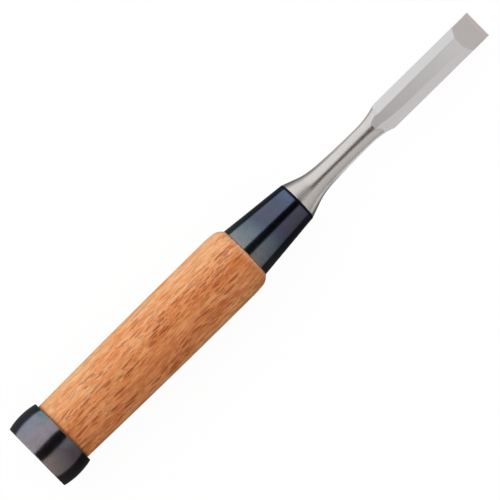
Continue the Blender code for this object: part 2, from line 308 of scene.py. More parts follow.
def square_power(x, left):
    """How square the forging is: round up to the shoulder, then a bar. The shoulder
    is filled out further back on the right side than on the left."""
    if left:
        return 2.0 + 12.0 * step(x, 180.3, 185.2) ** 1.8
    flat = 0.17 * step(x, 143.0, 150.0) * (1 - step(x, 172.0, 177.6))
    return 2.0 - flat + 12.0 * step(x, 177.6, 184.2) ** 2.0


def flat_z(x):
    return 3.10 - (3.10 - HEEL_Z) / (HEEL_X - 177.6) * (x - 177.6)


def flat_left(x):      # +Y edge of the centre flat
    return 2.28 + 0.22 * (x - 187) / 35.0


def flat_right(x):     # -Y edge
    return max(1.08 + 0.02 * (x - 178), 2.42 - 1.32 * math.exp(-(x - 180.2) / 5.2)) \
        + 0.25 * step(x, 200, 226)


def side_top(x):
    return 1.82 - 0.0088 * (x - 190)


def softmin(values, k):
    v = sorted(values)
    m = v[0]
    for w in v[1:]:
        h = max(k - abs(w - m), 0.0) / k
        m = min(m, w) - h * h * k * 0.25
    return m


def corners(x, bottom):
    """The blade's ground section at x as six (y, z) corners, from the flat's left edge
    round over +Y to the flat's right edge."""
    zf = flat_z(x)
    zb = BACK + BEVEL * (TIP - x)
    st = side_top(x)
    yl, yr = flat_left(x), flat_right(x)
    top = softmin([zf, zb], 0.05) if zb < zf + 0.2 else zf
    if top < zf - 1e-9:
        # the bevel takes the top: its side ends slide down the facets
        kl = (zf - st) / (HALF_W - yl)
        kr = (zf - st) / (HALF_W - yr)
        yl = min(HALF_W, yl + (zf - top) / kl)
        yr = min(HALF_W, yr + (zf - top) / kr)
        st = min(st, top)
    return [(yl, top), (HALF_W, st), (HALF_W, bottom), (-HALF_W, bottom), (-HALF_W, st), (-yr, top)]


COUNTS = [26, 30, 64, 30, 26, 40]   # facet, side, back, side, facet, flat


def section(x, bottom, crease=0.07):
    """Points round the section, crease-following, with small rounded corners."""
    c = [np.array(p) for p in corners(x, bottom)]
    n = len(c)
    out = []
    for i in range(n):
        p, q, s = c[i - 1], c[i], c[(i + 1) % n]
        la, lb = np.linalg.norm(p - q), np.linalg.norm(s - q)
        d = min(crease, 0.3 * la, 0.3 * lb)
        a = (p - q) / (la + 1e-12) * d
        b = (s - q) / (lb + 1e-12) * d
        mid = q + (a + b) * 0.29
        after = q + b
        out += [tuple(q + a), tuple(mid), tuple(after)]
        nxt = c[(i + 1) % n]
        ln = np.linalg.norm(nxt - q)
        d2 = min(crease, 0.3 * ln, 0.3 * np.linalg.norm(c[(i + 2) % n] - nxt))
        end = nxt + (q - nxt) / (ln + 1e-12) * d2
        for k in range(1, COUNTS[i]):
            t = k / COUNTS[i]
            out.append(tuple(after + (end - after) * t))
    return out


REF_X = 186.0
REF = section(REF_X, BACK)
REF_ANGLE = [math.atan2(z, y) for y, z in REF]


def lift(d, radius):
    """Run-out of a ground face behind its end, as a wheel leaves it."""
    return d * d / (2 * radius) if d > 0 else 0.0


def forged_section(x):
    """Section of the neck and of the shoulder, where the ground faces run out."""
    a, b = neck_half_width(x), neck_half_thick(x)
    out = []
    for phi in REF_ANGLE:
        c, s = math.cos(phi), math.sin(phi)
        n = square_power(x, c > 0)
        r = ((abs(c) / a) ** n + (abs(s) / b) ** n) ** (-1.0 / n)
        if x > 173.4:
            limits = [r]
            if s > 0.05:
                limits.append((flat_z(x) + lift(177.7 - x, 1.6)) / s)
            zf, st = flat_z(x), side_top(x)
            if c > 0:
                k = (zf - st) / (HALF_W - flat_left(x))
                limits.append((zf + k * flat_left(x) + lift(181.4 - x, 4.0)) / (s + k * c)
                              if s + k * c > 0.05 else 99)
            else:
                k = (zf - st) / (HALF_W - flat_right(x))
                limits.append((zf + k * flat_right(x) + lift(177.4 - x, 3.0)) / (s - k * c)
                              if s - k * c > 0.05 else 99)
            if s < -0.05:
                limits.append((-BACK + lift(178.7 - x, 12.0)) / -s)
            limits.append(HALF_W / max(abs(c), 1e-6))
            r = softmin(limits, 0.07)
        w = wobble(x, phi, 7, 7.0, 0.012, 4.0) * (1 - step(x, 171.4, 177.2))
        r += w * step(x, NECK_X0 + 0.5, NECK_X0 + 4)
        out.append((r * c, r * s))
    return out


def build_blade_body():
    rings = []
    n = len(REF)

    def square(x, h):
        pts = []
        for phi in REF_ANGLE:
            c, s = abs(math.cos(phi)), abs(math.sin(phi))
            r = h / max(c, s)
            pts.append((x, r * math.cos(phi), r * math.sin(phi)))
        return pts

    rings.append(square(NECK_X0 - 62.9, 1.2))
    rings.append(square(NECK_X0 - 61.5, 1.75))
    rings.append(square(NECK_X0 - 30.0, 2.6))
    rings.append(square(NECK_X0 - 0.21, 3.4))
    # bearing face of the shoulder and its broken edge
    for x, k in ((NECK_X0 - 0.20, 0.6), (NECK_X0 - 0.20, 0.985), (NECK_X0 - 0.19, 0.994),
                 (NECK_X0 - 0.14, 0.9995)):
        r = neck_half_width(NECK_X0) * k
        rings.append([(x, r * math.cos(p), r * math.sin(p)) for p in REF_ANGLE])
    xs = (spread(NECK_X0 + 0.05, 152.8, 60) + spread(152.8, 171.8, 60)[1:]
          + spread(171.8, 186.0, 156)[1:])
    for x in xs:
        if x < REF_X - 1e-6:
            rings.append([(x, y, z) for y, z in forged_section(x)])
        else:
            rings.append([(x, y, z) for y, z in section(x, BACK)])
    for x in spread(186.25, STEEL_X0 - 0.01, 4):
        rings.append([(x, y, z) for y, z in section(x, BACK)])
    low = WELD_Z + 0.004
    for x in [STEEL_X0 - 0.005] + spread(STEEL_X0 + 0.4, 222.2, 60) + spread(222.25, 223.1, 14) \
            + spread(223.25, 225.6, 24) + spread(225.8, 230.6, 20):
        rings.append([(x, y, z) for y, z in section(x, low)])
    x_end = TIP - (low - BACK) / BEVEL
    for x in (x_end - 0.25, x_end - 0.08, x_end - 0.012):
        rings.append([(x, y, z) for y, z in section(x, low)])
    verts = [p for ring in rings for p in ring]
    faces = []
    for i in range(len(rings) - 1):
        for k in range(n):
            j = (k + 1) % n
            faces.append((i * n + k, (i + 1) * n + k, (i + 1) * n + j, i * n + j))
    faces.append(tuple(range(n)))
    last = (len(rings) - 1) * n
    faces.append(tuple(last + k for k in reversed(range(n))))
    obj = new_object("blade_forging", verts, faces, sharp=38)
    fix_normals(obj)
    return ride(obj, "blade_body")


def fix_normals(obj):
    import bmesh
    bm = bmesh.new()
    bm.from_mesh(obj.data)
    bmesh.ops.remove_doubles(bm, verts=bm.verts, dist=2e-7)
    bmesh.ops.dissolve_degenerate(bm, edges=bm.edges, dist=1e-7)
    bmesh.ops.recalc_face_normals(bm, faces=bm.faces)
    if bm.calc_volume(signed=True) < 0:
        bmesh.ops.reverse_faces(bm, faces=bm.faces)
    bm.to_mesh(obj.data)
    bm.free()
    obj.data.update()


# --------------------------------------------------------------- cutting steel
def hollow_depth(x, y):
    """Depth of the hollow ground in the back; zero on the flat lands."""
    xc, ax = 209.6, 21.0
    u = (x - xc) / ax
    edge = 4.75 * (1 - abs(u) ** 3.2) ** 0.5 if abs(u) < 1 else 0.0
    if edge < 1e-3:
        return 0.0
    v = abs(y) / edge
    return 0.36 * max(0.0, 1 - v * v) * min(1.0, (1 - abs(u) ** 3.2) * 1.6)


def build_cutting_steel():
    nx, ny = 250, 96
    x0 = STEEL_X0
    xs = spread(x0, 229.0, 200) + spread(229.1, TIP - 0.02, 50)
    ys = []
    e = 0.07
    inner = HALF_W - e
    for i in range(ny + 1):
        t = -1 + 2 * i / ny
        ys.append(inner * t)
    top_z = WELD_Z
    rings = []
    for x in xs:
        zt = min(top_z, BACK + BEVEL * (TIP - x))
        e1 = min(e, 0.3 * (zt - BACK))
        ring = [(x, y, BACK + hollow_depth(x, y)) for y in ys]          # back, -Y to +Y
        ring += [(x, HALF_W - 0.29 * e1, BACK + 0.29 * e1), (x, HALF_W, BACK + e1)]
        ring += [(x, HALF_W, BACK + e1 + (zt - BACK - e1) * k / 4) for k in (1, 2, 3)]
        ring += [(x, HALF_W, zt)]
        ring += [(x, HALF_W - 2 * HALF_W * k / 24, zt) for k in range(1, 24)]
        ring += [(x, -HALF_W, zt)]
        ring += [(x, -HALF_W, BACK + e1 + (zt - BACK - e1) * k / 4) for k in (3, 2, 1)]
        ring += [(x, -HALF_W, BACK + e1), (x, -HALF_W + 0.29 * e1, BACK + 0.29 * e1)]
        rings.append(ring)
    n = len(rings[0])
    verts = [p for ring in rings for p in ring]
    faces = []
    for i in range(len(rings) - 1):
        for k in range(n):
            j = (k + 1) % n
            faces.append((i * n + k, i * n + j, (i + 1) * n + j, (i + 1) * n + k))
    faces.append(tuple(reversed(range(n))))
    last = (len(rings) - 1) * n
    faces.append(tuple(last + k for k in range(n)))
    obj = new_object("hard_steel_plate", verts, faces, sharp=30)
    fix_normals(obj)
    return ride(obj, "cutting_steel")


# ---------------------------------------------------------------- node helpers
class Nodes:
    """Short hand for building a shader in code."""

    def __init__(self, name):
        self.mat = bpy.data.materials.new(name)
        self.mat.use_nodes = True
        self.tree = self.mat.node_tree
        self.tree.nodes.clear()
        self.out = self.tree.nodes.new("ShaderNodeOutputMaterial")
        self.bsdf = self.tree.nodes.new("ShaderNodeBsdfPrincipled")
        self.tree.links.new(self.bsdf.outputs[0], self.out.inputs[0])
        tc = self.tree.nodes.new("ShaderNodeTexCoord")
        self.pos = self.vmath("SCALE", tc.outputs["Object"], scale=1000.0)   # millimetres
        sep = self.tree.nodes.new("ShaderNodeSeparateXYZ")
        self.tree.links.new(self.pos, sep.inputs[0])
        self.x, self.y, self.z = sep.outputs

    def put(self, socket, value):
        if isinstance(value, bpy.types.NodeSocket):
            self.tree.links.new(value, socket)
        elif isinstance(value, (tuple, list)) and len(value) == 3 and socket.type == "RGBA":
            socket.default_value = (*value, 1.0)
        else:
            socket.default_value = value

    def separate(self, vec):
        n = self.tree.nodes.new("ShaderNodeSeparateXYZ")
        self.tree.links.new(vec, n.inputs[0])
        return list(n.outputs)

    def split(self, colour):
        n = self.tree.nodes.new("ShaderNodeSeparateColor")
        self.tree.links.new(colour, n.inputs[0])
        return list(n.outputs)

    def math(self, op, a, b=None, c=None, clamp=False):
        n = self.tree.nodes.new("ShaderNodeMath")
        n.operation = op
        n.use_clamp = clamp
        self.put(n.inputs[0], a)
        if b is not None:
            self.put(n.inputs[1], b)
        if c is not None:
            self.put(n.inputs[2], c)
        return n.outputs[0]

    def vmath(self, op, a, b=None, scale=None):
        n = self.tree.nodes.new("ShaderNodeVectorMath")
        n.operation = op
        self.put(n.inputs[0], a)
        if b is not None:
            self.put(n.inputs[1], b)
        if scale is not None:
            self.put(n.inputs["Scale"], scale)
        return n.outputs[0]

    def combine(self, x, y, z):
        n = self.tree.nodes.new("ShaderNodeCombineXYZ")
        for s, v in zip(n.inputs, (x, y, z)):
            self.put(s, v)
        return n.outputs[0]

    def stretch(self, lx, ly, lz, offset=(0, 0, 0), vec=None):
        """Position divided by a length per axis, so one noise cell is lx by ly by lz mm."""
        v = self.vmath("MULTIPLY", vec or self.pos, (1 / lx, 1 / ly, 1 / lz))
        return self.vmath("ADD", v, offset)

    def noise(self, vec, detail=2.0, rough=0.5, scale=1.0, distortion=0.0, colour=False):
        n = self.tree.nodes.new("ShaderNodeTexNoise")
        self.put(n.inputs["Vector"], vec)
        n.inputs["Scale"].default_value = scale
        n.inputs["Detail"].default_value = detail
        n.inputs["Roughness"].default_value = rough
        n.inputs["Distortion"].default_value = distortion
        return n.outputs["Color" if colour else 0]

    def voronoi(self, vec, feature="F1", randomness=1.0):
        n = self.tree.nodes.new("ShaderNodeTexVoronoi")
        n.feature = feature
        self.put(n.inputs["Vector"], vec)
        n.inputs["Scale"].default_value = 1.0
        n.inputs["Randomness"].default_value = randomness
        return n.outputs

    def ramp(self, value, lo, hi, a=0.0, b=1.0, smoothstep=True):
        n = self.tree.nodes.new("ShaderNodeMapRange")
        n.interpolation_type = "SMOOTHSTEP" if smoothstep else "LINEAR"
        self.put(n.inputs["Value"], value)
        n.inputs["From Min"].default_value = lo
        n.inputs["From Max"].default_value = hi
        n.inputs["To Min"].default_value = a
        n.inputs["To Max"].default_value = b
        return n.outputs[0]

    def colours(self, value, stops):
        n = self.tree.nodes.new("ShaderNodeValToRGB")
        self.put(n.inputs[0], value)
        e = n.color_ramp.elements
        while len(e) < len(stops):
            e.new(0.5)
        for el, (p, c) in zip(e, sorted(stops)):
            el.position = p
            el.color = (*c, 1.0)
        return n.outputs[0]

    def mix(self, fac, a, b, blend="MIX"):
        n = self.tree.nodes.new("ShaderNodeMix")
        n.data_type = "RGBA"
        n.blend_type = blend
        n.clamp_factor = True
        self.put(n.inputs[0], fac)
        self.put(n.inputs[6], a)
        self.put(n.inputs[7], b)
        return n.outputs[2]

    def bump(self, height, strength, distance, normal=None):
        n = self.tree.nodes.new("ShaderNodeBump")
        n.inputs["Strength"].default_value = strength
        n.inputs["Distance"].default_value = distance
        self.put(n.inputs["Height"], height)
        if normal is not None:
            self.put(n.inputs["Normal"], normal)
        return n.outputs[0]

    def finish(self, colour, roughness, normal=None, metallic=0.0, **fixed):
        self.put(self.bsdf.inputs["Base Color"], colour)
        self.put(self.bsdf.inputs["Roughness"], roughness)
        self.put(self.bsdf.inputs["Metallic"], metallic)
        if normal is not None:
            self.put(self.bsdf.inputs["Normal"], normal)
        for k, v in fixed.items():
            self.bsdf.inputs[k.replace("_", " ")].default_value = v
        return self.mat


# ------------------------------------------------------------------- materials
def oak_material():
    m = Nodes("red_oak")
    # the grain wanders a little along the handle
    wander = m.noise(m.stretch(34, 13, 13), 2, 0.5, colour=True)
    wander = m.vmath("SUBTRACT", wander, (0.5, 0.5, 0.5))
    wander = m.vmath("MULTIPLY", wander, (0.0, 4.2, 4.2))
    p = m.vmath("ADD", m.pos, wander)
    py, pz = m.separate(p)[1:]

    # growth rings about a pith well below the handle
    ry = m.math("ADD", py, 22.0)
    rz = m.math("ADD", pz, 62.0)
    radius = m.math("SQRT", m.math("ADD", m.math("MULTIPLY", ry, ry), m.math("MULTIPLY", rz, rz)))
    ring_noise = m.noise(m.stretch(60, 9, 9, (3, 1, 7)), 2, 0.5)
    rings = m.math("ADD", m.math("DIVIDE", radius, 3.1), m.math("MULTIPLY", ring_noise, 1.6))
    phase = m.math("FRACT", rings)
    early = m.math("MULTIPLY", m.ramp(phase, 0.0, 0.12), m.ramp(phase, 0.30, 0.62, 1.0, 0.0))

    broad = m.noise(m.stretch(40, 6.0, 6.0, (11, 3, 5), p), 3, 0.55)
    streak = m.noise(m.stretch(10, 0.95, 2.0, (31, 13, 2), p), 3, 0.60)
    fibre = m.noise(m.stretch(4.6, 0.34, 0.5, (5, 9, 2), p), 3, 0.65)
    patch = m.noise(m.stretch(11, 5.0, 5.0, (2, 17, 8), p), 2, 0.5)

    # painted shade: the wood is painted paler on the +Y side and redder and darker on the -Y side, standing in for
    # the brighter light on the +Y side. A lighter strip runs along the far -Y edge.
    tone = m.ramp(m.math("ADD", m.y, m.math("MULTIPLY_ADD", broad, 9.0, -4.5)), -3.0, 13.0, 0.478, 0.705)
    tone = m.math("ADD", tone, m.math("MULTIPLY_ADD", broad, 0.36, -0.18))
    tone = m.math("ADD", tone, m.ramp(m.y, -12.6, -10.0, 0.10, 0.0))
    tone = m.math("ADD", tone, m.math("MULTIPLY_ADD", streak, 0.76, -0.38))
    tone = m.math("ADD", tone, m.math("MULTIPLY_ADD", fibre, 0.50, -0.25))
    tone = m.math("SUBTRACT", tone, m.math("MULTIPLY", early, 0.05))
    colour = m.colours(tone, [
        (0.20, (0.625, 0.158, 0.034)),
        (0.38, (0.820, 0.246, 0.065)),
        (0.52, (0.935, 0.350, 0.116)),
        (0.66, (0.985, 0.490, 0.215)),
        (0.84, (1.000, 0.610, 0.330)),
    ])
    # soft orange patches
    glow = m.ramp(patch, 0.56, 0.74)
    colour = m.mix(m.math("MULTIPLY", glow, 0.40), colour, (0.86, 0.285, 0.085))

    # rays: thin sheets that run out from the pith, seen end-on as short dashes on top
    def rays(lx, ly, lz, off, lo, hi, keep):
        warp = m.noise(m.stretch(lx * 0.6, ly * 1.8, lz, off, p), 2, 0.5, colour=True)
        warp = m.vmath("MULTIPLY", m.vmath("SUBTRACT", warp, (0.5, 0.5, 0.5)), (0.45, 0.75, 0.2))
        v = m.vmath("ADD", m.stretch(lx, ly, lz, off, p), warp)
        vor = m.voronoi(v)
        pick = m.split(vor["Color"])
        chosen = m.math("LESS_THAN", pick[0], keep)
        size = m.ramp(pick[1], 0.0, 1.0, 0.7, 1.3, False)
        depth = m.ramp(pick[2], 0.0, 1.0, 0.55, 1.0, False)
        d = m.math("DIVIDE", vor["Distance"], size)
        return m.math("MULTIPLY", m.math("MULTIPLY", m.ramp(d, lo, hi, 1.0, 0.0), chosen), depth)

    long_rays = rays(8.4, 1.15, 24.0, (2.3, 7.1, 4.4), 0.24, 0.39, 0.92)
    short_rays = rays(5.0, 0.88, 18.0, (21.0, 3.7, 9.9), 0.24, 0.40, 1.00)
    tiny_rays = rays(2.8, 0.60, 9.0, (6.6, 15.2, 1.9), 0.20, 0.42, 0.90)
    zone = m.ramp(m.noise(m.stretch(22, 3.6, 30, (8, 2, 6), p), 2, 0.5), 0.36, 0.60, 0.40, 1.0)
    zone = m.math("MULTIPLY", zone, m.ramp(m.y, 3.0, 12.0, 1.0, 0.5))
    # rays lie flat in the faces beside the pith's plane and hardly darken them
    facing = m.math("DIVIDE", m.math("ABSOLUTE", m.z), 13.0)
    zone = m.math("MULTIPLY", zone, m.ramp(facing, 0.05, 0.62, 0.30, 1.0))
    dash = m.math("MAXIMUM", m.math("MULTIPLY", long_rays, 1.0), m.math("MULTIPLY", short_rays, 0.95))
    dash = m.math("MULTIPLY", m.math("MAXIMUM", dash, m.math("MULTIPLY", tiny_rays, 0.70)), zone)
    colour = m.mix(m.math("MULTIPLY", dash, 0.96), colour, (0.370, 0.070, 0.013))

    # open pores: fine dark lines, thickest in the early wood
    pore = m.noise(m.stretch(4.6, 0.19, 0.19, (17, 4, 12), p), 2, 0.6)
    pore = m.ramp(pore, 0.57, 0.68)
    pore = m.math("MULTIPLY", pore, m.math("MULTIPLY_ADD", early, 0.6, 0.4))
    colour = m.mix(m.math("MULTIPLY", pore, 0.42), colour, (0.43, 0.105, 0.024))

    # the end grain drinks more finish and is bruised where it meets the hammer
    end = m.ramp(m.x, 0.15, 0.9, 1.0, 0.0)
    grain = m.noise(m.stretch(2.0, 0.35, 0.35, (4, 4, 4)), 3, 0.6)
    end_c = m.mix(m.math("MULTIPLY_ADD", early, 0.5, m.math("MULTIPLY", grain, 0.5)),
                  (0.44, 0.190, 0.078), (0.22, 0.080, 0.032))
    colour = m.mix(m.math("MULTIPLY", end, 0.85), colour, end_c)
    # painted highlight: a lighter band on the rounded front shoulder next to the ferrule
    shoulder_highlight = m.math("MULTIPLY", m.ramp(m.x, 107.5, 108.5), m.ramp(m.x, 108.9, 109.2, 1.0, 0.0))
    colour = m.mix(m.math("MULTIPLY", shoulder_highlight, 0.38), colour, (0.98, 0.60, 0.38))
    # painted shadow: the wood is darkened where it meets the hoop and the ferrule
    joint_shadow = m.math("MAXIMUM", m.ramp(m.x, 13.85, 15.0, 0.50, 0.0), m.ramp(m.x, 108.95, 109.3, 0.0, 0.50))
    colour = m.mix(joint_shadow, colour, (0.20, 0.055, 0.025))

    rough = m.math("MULTIPLY_ADD", fibre, 0.16, 0.44)
    rough = m.math("ADD", rough, m.math("MULTIPLY", dash, 0.06))
    height = m.math("SUBTRACT", m.math("MULTIPLY", fibre, 0.25), m.math("MULTIPLY", pore, 0.8))
    height = m.math("SUBTRACT", height, m.math("MULTIPLY", dash, 0.35))
    normal = m.bump(height, 0.40, 0.00006)
    return m.finish(colour, rough, normal, 0.0, IOR=1.46)


def hoop_material():
    m = Nodes("blued_hoop_steel")
    n1 = m.noise(m.stretch(6, 8, 8, (1, 5, 2)), 3, 0.55)
    n2 = m.noise(m.stretch(2.2, 2.2, 2.2, (9, 1, 4)), 4, 0.6)
    lean = m.math("MULTIPLY_ADD", n1, 0.9, -0.45)
    side = m.math("ADD", m.math("DIVIDE", m.y, 15.5), lean)
    blue = (0.178, 0.200, 0.252)
    purple = (0.218, 0.190, 0.218)
    # right (-Y) side: painted shade over the temper colour, darker and browner than the blue left side; lighter
    # straw-brown at the struck end, darker towards the handle
    along = m.math("ADD", m.x, m.math("MULTIPLY_ADD", n1, 3.0, -1.5))
    along = m.math("DIVIDE", along, 13.7)
    shaded_brown_side = m.colours(along, [
        (0.06, (0.250, 0.203, 0.192)),
        (0.30, (0.172, 0.148, 0.148)),
        (0.52, (0.135, 0.115, 0.124)),
        (0.76, (0.082, 0.071, 0.080)),
        (0.95, (0.088, 0.078, 0.086)),
    ])
    u = m.math("SUBTRACT", m.x, m.math("MULTIPLY_ADD", m.y, -0.69, 6.3))
    wedge = m.math("MULTIPLY", m.ramp(u, -0.1, 0.5), m.ramp(m.y, -7.5, -4.0))
    shaded_brown_side = m.mix(m.math("MULTIPLY", wedge, 0.85), shaded_brown_side, (0.122, 0.128, 0.152))
    colour = m.mix(m.ramp(m.math("ADD", side, 0.0), -0.22, 0.20), shaded_brown_side, purple)
    colour = m.mix(m.ramp(side, 0.25, 0.80), colour, blue)
    # temper colours towards the handle
    teal = m.math("MULTIPLY", m.ramp(m.x, 9.0, 12.6), m.ramp(side, 0.15, 0.75))
    colour = m.mix(m.math("MULTIPLY", teal, 0.76), colour, (0.100, 0.172, 0.192))
    straw = m.math("MULTIPLY", m.ramp(m.x, 0.4, 3.0, 1.0, 0.0), m.ramp(m.y, -1.0, 2.0))
    colour = m.mix(m.math("MULTIPLY", straw, 0.55), colour, (0.215, 0.200, 0.190))
    colour = m.mix(m.ramp(n2, 0.35, 0.75, 0.0, 0.32), colour, (0.11, 0.11, 0.13))
    # bright worn metal along the two rims, heavier on the struck end
    wear_n = m.noise(m.stretch(1.1, 1.4, 1.4, (4, 4, 8)), 4, 0.65)
    rim = m.math("MAXIMUM", m.ramp(m.x, 0.0, 0.85, 1.0, 0.0), m.ramp(m.x, 13.25, 13.68, 0.0, 0.6))
    wear = m.math("MULTIPLY", rim, m.ramp(wear_n, 0.42, 0.66))
    colour = m.mix(m.math("MULTIPLY", wear, 0.6), colour, (0.42, 0.40, 0.39))
    rough = m.math("MULTIPLY_ADD", n2, 0.13, 0.11)
    rough = m.math("ADD", rough, m.math("MULTIPLY", wear, 0.12))
    scale = m.noise(m.stretch(0.55, 0.55, 0.55, (2, 2, 2)), 3, 0.6)
    lines = m.noise(m.stretch(0.10, 9, 9, (3, 8, 1)), 2, 0.5)
    height = m.math("ADD", m.math("MULTIPLY", scale, 0.8), m.math("MULTIPLY", lines, 0.25))
    normal = m.bump(height, 0.16, 0.00002)
    return m.finish(colour, rough, normal, 1.0)


def ferrule_material():
    m = Nodes("blued_ferrule_steel")
    n1 = m.noise(m.stretch(7, 6, 6, (2, 9, 5)), 3, 0.55)
    n2 = m.noise(m.stretch(1.8, 1.8, 1.8, (6, 3, 1)), 4, 0.6)
    along = m.math("ADD", m.x, m.math("MULTIPLY_ADD", n1, 6.0, -3.0))
    t = m.ramp(along, 109.4, 137.2, 0.0, 1.0, False)
    left = m.colours(t, [
        (0.00, (0.175, 0.200, 0.210)),
        (0.12, (0.158, 0.182, 0.200)),
        (0.26, (0.102, 0.135, 0.162)),
        (0.42, (0.072, 0.086, 0.127)),
        (0.56, (0.080, 0.084, 0.124)),
        (0.74, (0.072, 0.086, 0.132)),
        (0.92, (0.078, 0.104, 0.166)),
    ])
    right = m.colours(t, [
        (0.00, (0.172, 0.178, 0.178)),
        (0.12, (0.158, 0.168, 0.186)),
        (0.26, (0.120, 0.150, 0.178)),
        (0.42, (0.075, 0.095, 0.135)),
        (0.56, (0.072, 0.072, 0.116)),
        (0.74, (0.072, 0.074, 0.110)),
        (0.92, (0.074, 0.074, 0.110)),
    ])
    colour = m.mix(m.ramp(m.y, -1.5, 1.5), right, left)
    colour = m.mix(m.ramp(n2, 0.4, 0.8, 0.0, 0.3), colour, (0.055, 0.06, 0.085))
    # worn metal at the wood end; painted shadow: the front edge is painted black where the rim falls into shade
    wear_n = m.noise(m.stretch(1.0, 1.2, 1.2, (7, 4, 3)), 4, 0.65)
    wear = m.math("MULTIPLY", m.ramp(m.x, 109.4, 109.85, 0.7, 0.0), m.ramp(wear_n, 0.40, 0.62))
    colour = m.mix(m.math("MULTIPLY", wear, 0.45), colour, (0.36, 0.35, 0.35))
    rim_shadow = m.ramp(m.math("ADD", m.x, m.math("MULTIPLY_ADD", wear_n, 0.3, -0.15)), 136.15, 136.35)
    colour = m.mix(rim_shadow, colour, (0.013, 0.013, 0.017))
    rough = m.math("MULTIPLY_ADD", n2, 0.12, 0.10)
    rough = m.math("MULTIPLY_ADD", rim_shadow, 0.25, rough)
    lines = m.noise(m.stretch(0.11, 8, 8, (3, 2, 6)), 2, 0.5)
    scale = m.noise(m.stretch(0.6, 0.6, 0.6, (8, 2, 2)), 3, 0.6)
    height = m.math("ADD", m.math("MULTIPLY", scale, 0.5), m.math("MULTIPLY", lines, 0.4))
    normal = m.bump(height, 0.14, 0.00002)
    return m.finish(colour, rough, normal, 1.0)


def iron_material():
    """Soft iron: satin neck, ground blade faces, ground bevel."""
    m = Nodes("soft_iron")
    n2 = m.noise(m.stretch(2.5, 2.0, 2.0, (6, 1, 1)), 4, 0.6)
    geo = m.tree.nodes.new("ShaderNodeNewGeometry")
    nz = m.separate(geo.outputs["True Normal"])[2]
    # the ground faces start further forward on the left flank than on the right
    start = m.math("ADD", m.ramp(m.y, 0.9, 2.4, 176.9, 181.1), m.ramp(m.y, -3.2, -0.8, 1.8, 0.0))
    blade = m.ramp(m.math("DIVIDE", m.math("SUBTRACT", m.x, start), m.ramp(m.y, 2.2, 3.0, 0.45, 1.6)), 0.0, 1.0)
    blade = m.math("MAXIMUM", blade, m.math("MULTIPLY", m.ramp(nz, 0.976, 0.990), m.ramp(m.x, 177.0, 177.3)))
    top = m.math("SUBTRACT", m.math("MULTIPLY_ADD", m.math("SUBTRACT", 233.3, m.x), BEVEL, BACK), m.z)
    bevel = m.math("MULTIPLY", m.ramp(top, 0.02, 0.06, 1.0, 0.0), m.ramp(m.x, 221.5, 222.0))
    flat = m.math("MULTIPLY", m.ramp(nz, 0.982, 0.994), m.math("SUBTRACT", 1.0, bevel))
    nose = m.math("MULTIPLY", m.ramp(m.x, 178.4, 178.9, 1.0, 0.0), m.ramp(m.y, -1.3, -0.9))
    flat = m.math("MAXIMUM", flat, m.math("MULTIPLY", nose, m.ramp(nz, 0.86, 0.93)))
    # long fine scratches from the wheel on the blade, turning marks round the neck
    scratch = m.noise(m.stretch(7.0, 0.09, 0.09, (1, 7, 3)), 3, 0.6)
    around = m.noise(m.stretch(0.16, 2.6, 2.6, (5, 2, 8)), 3, 0.6)
    neck_c = m.mix(n2, (0.520, 0.497, 0.482), (0.580, 0.557, 0.542))
    # painted light: the -Y half of the neck is painted a lighter grey than the +Y half, lit and shaded copies of the
    # same iron
    neck_c = m.mix(m.ramp(m.y, -0.6, 0.4, 1.0, 0.0), neck_c, m.mix(n2, (0.595, 0.560, 0.541), (0.655, 0.620, 0.601)))
    blade_c = m.mix(n2, (0.900, 0.880, 0.890), (0.935, 0.915, 0.925))
    # painted shade: the +Y facet is painted a darker grey than the rest of the blade
    shaded_left_facet_c = m.mix(n2, (0.725, 0.717, 0.722), (0.765, 0.757, 0.762))
    blade_c = m.mix(m.math("MULTIPLY", m.ramp(m.y, 2.0, 2.6), m.math("SUBTRACT", 1.0, flat)), blade_c, shaded_left_facet_c)
    # painted shade: the centre flat is painted darker towards the neck and lighter towards the bevel
    shaded_flat_c = m.mix(m.ramp(m.x, 178.0, 222.0, 0.0, 1.0, False), (0.680, 0.650, 0.655), (0.920, 0.895, 0.900))
    blade_c = m.mix(flat, blade_c, shaded_flat_c)
    blade_c = m.mix(m.ramp(scratch, 0.3, 0.8, 0.0, 0.20), blade_c, (0.60, 0.59, 0.60))
    bevel_c = m.mix(n2, (0.675, 0.642, 0.625), (0.725, 0.692, 0.675))
    colour = m.mix(blade, neck_c, blade_c)
    colour = m.mix(bevel, colour, bevel_c)
    rough = m.ramp(blade, 0.0, 1.0, 0.275, 0.58, False)
    rough = m.math("ADD", rough, m.math("MULTIPLY", bevel, -0.08))
    rough = m.math("ADD", rough, m.math("MULTIPLY_ADD", n2, 0.08, -0.04))
    h_neck = m.math("MULTIPLY", around, m.ramp(blade, 0.0, 1.0, 1.0, 0.0, False))
    h_blade = m.math("MULTIPLY", scratch, blade)
    normal = m.bump(m.math("ADD", h_neck, h_blade), 0.10, 0.00002)
    return m.finish(colour, rough, normal, 0.88)


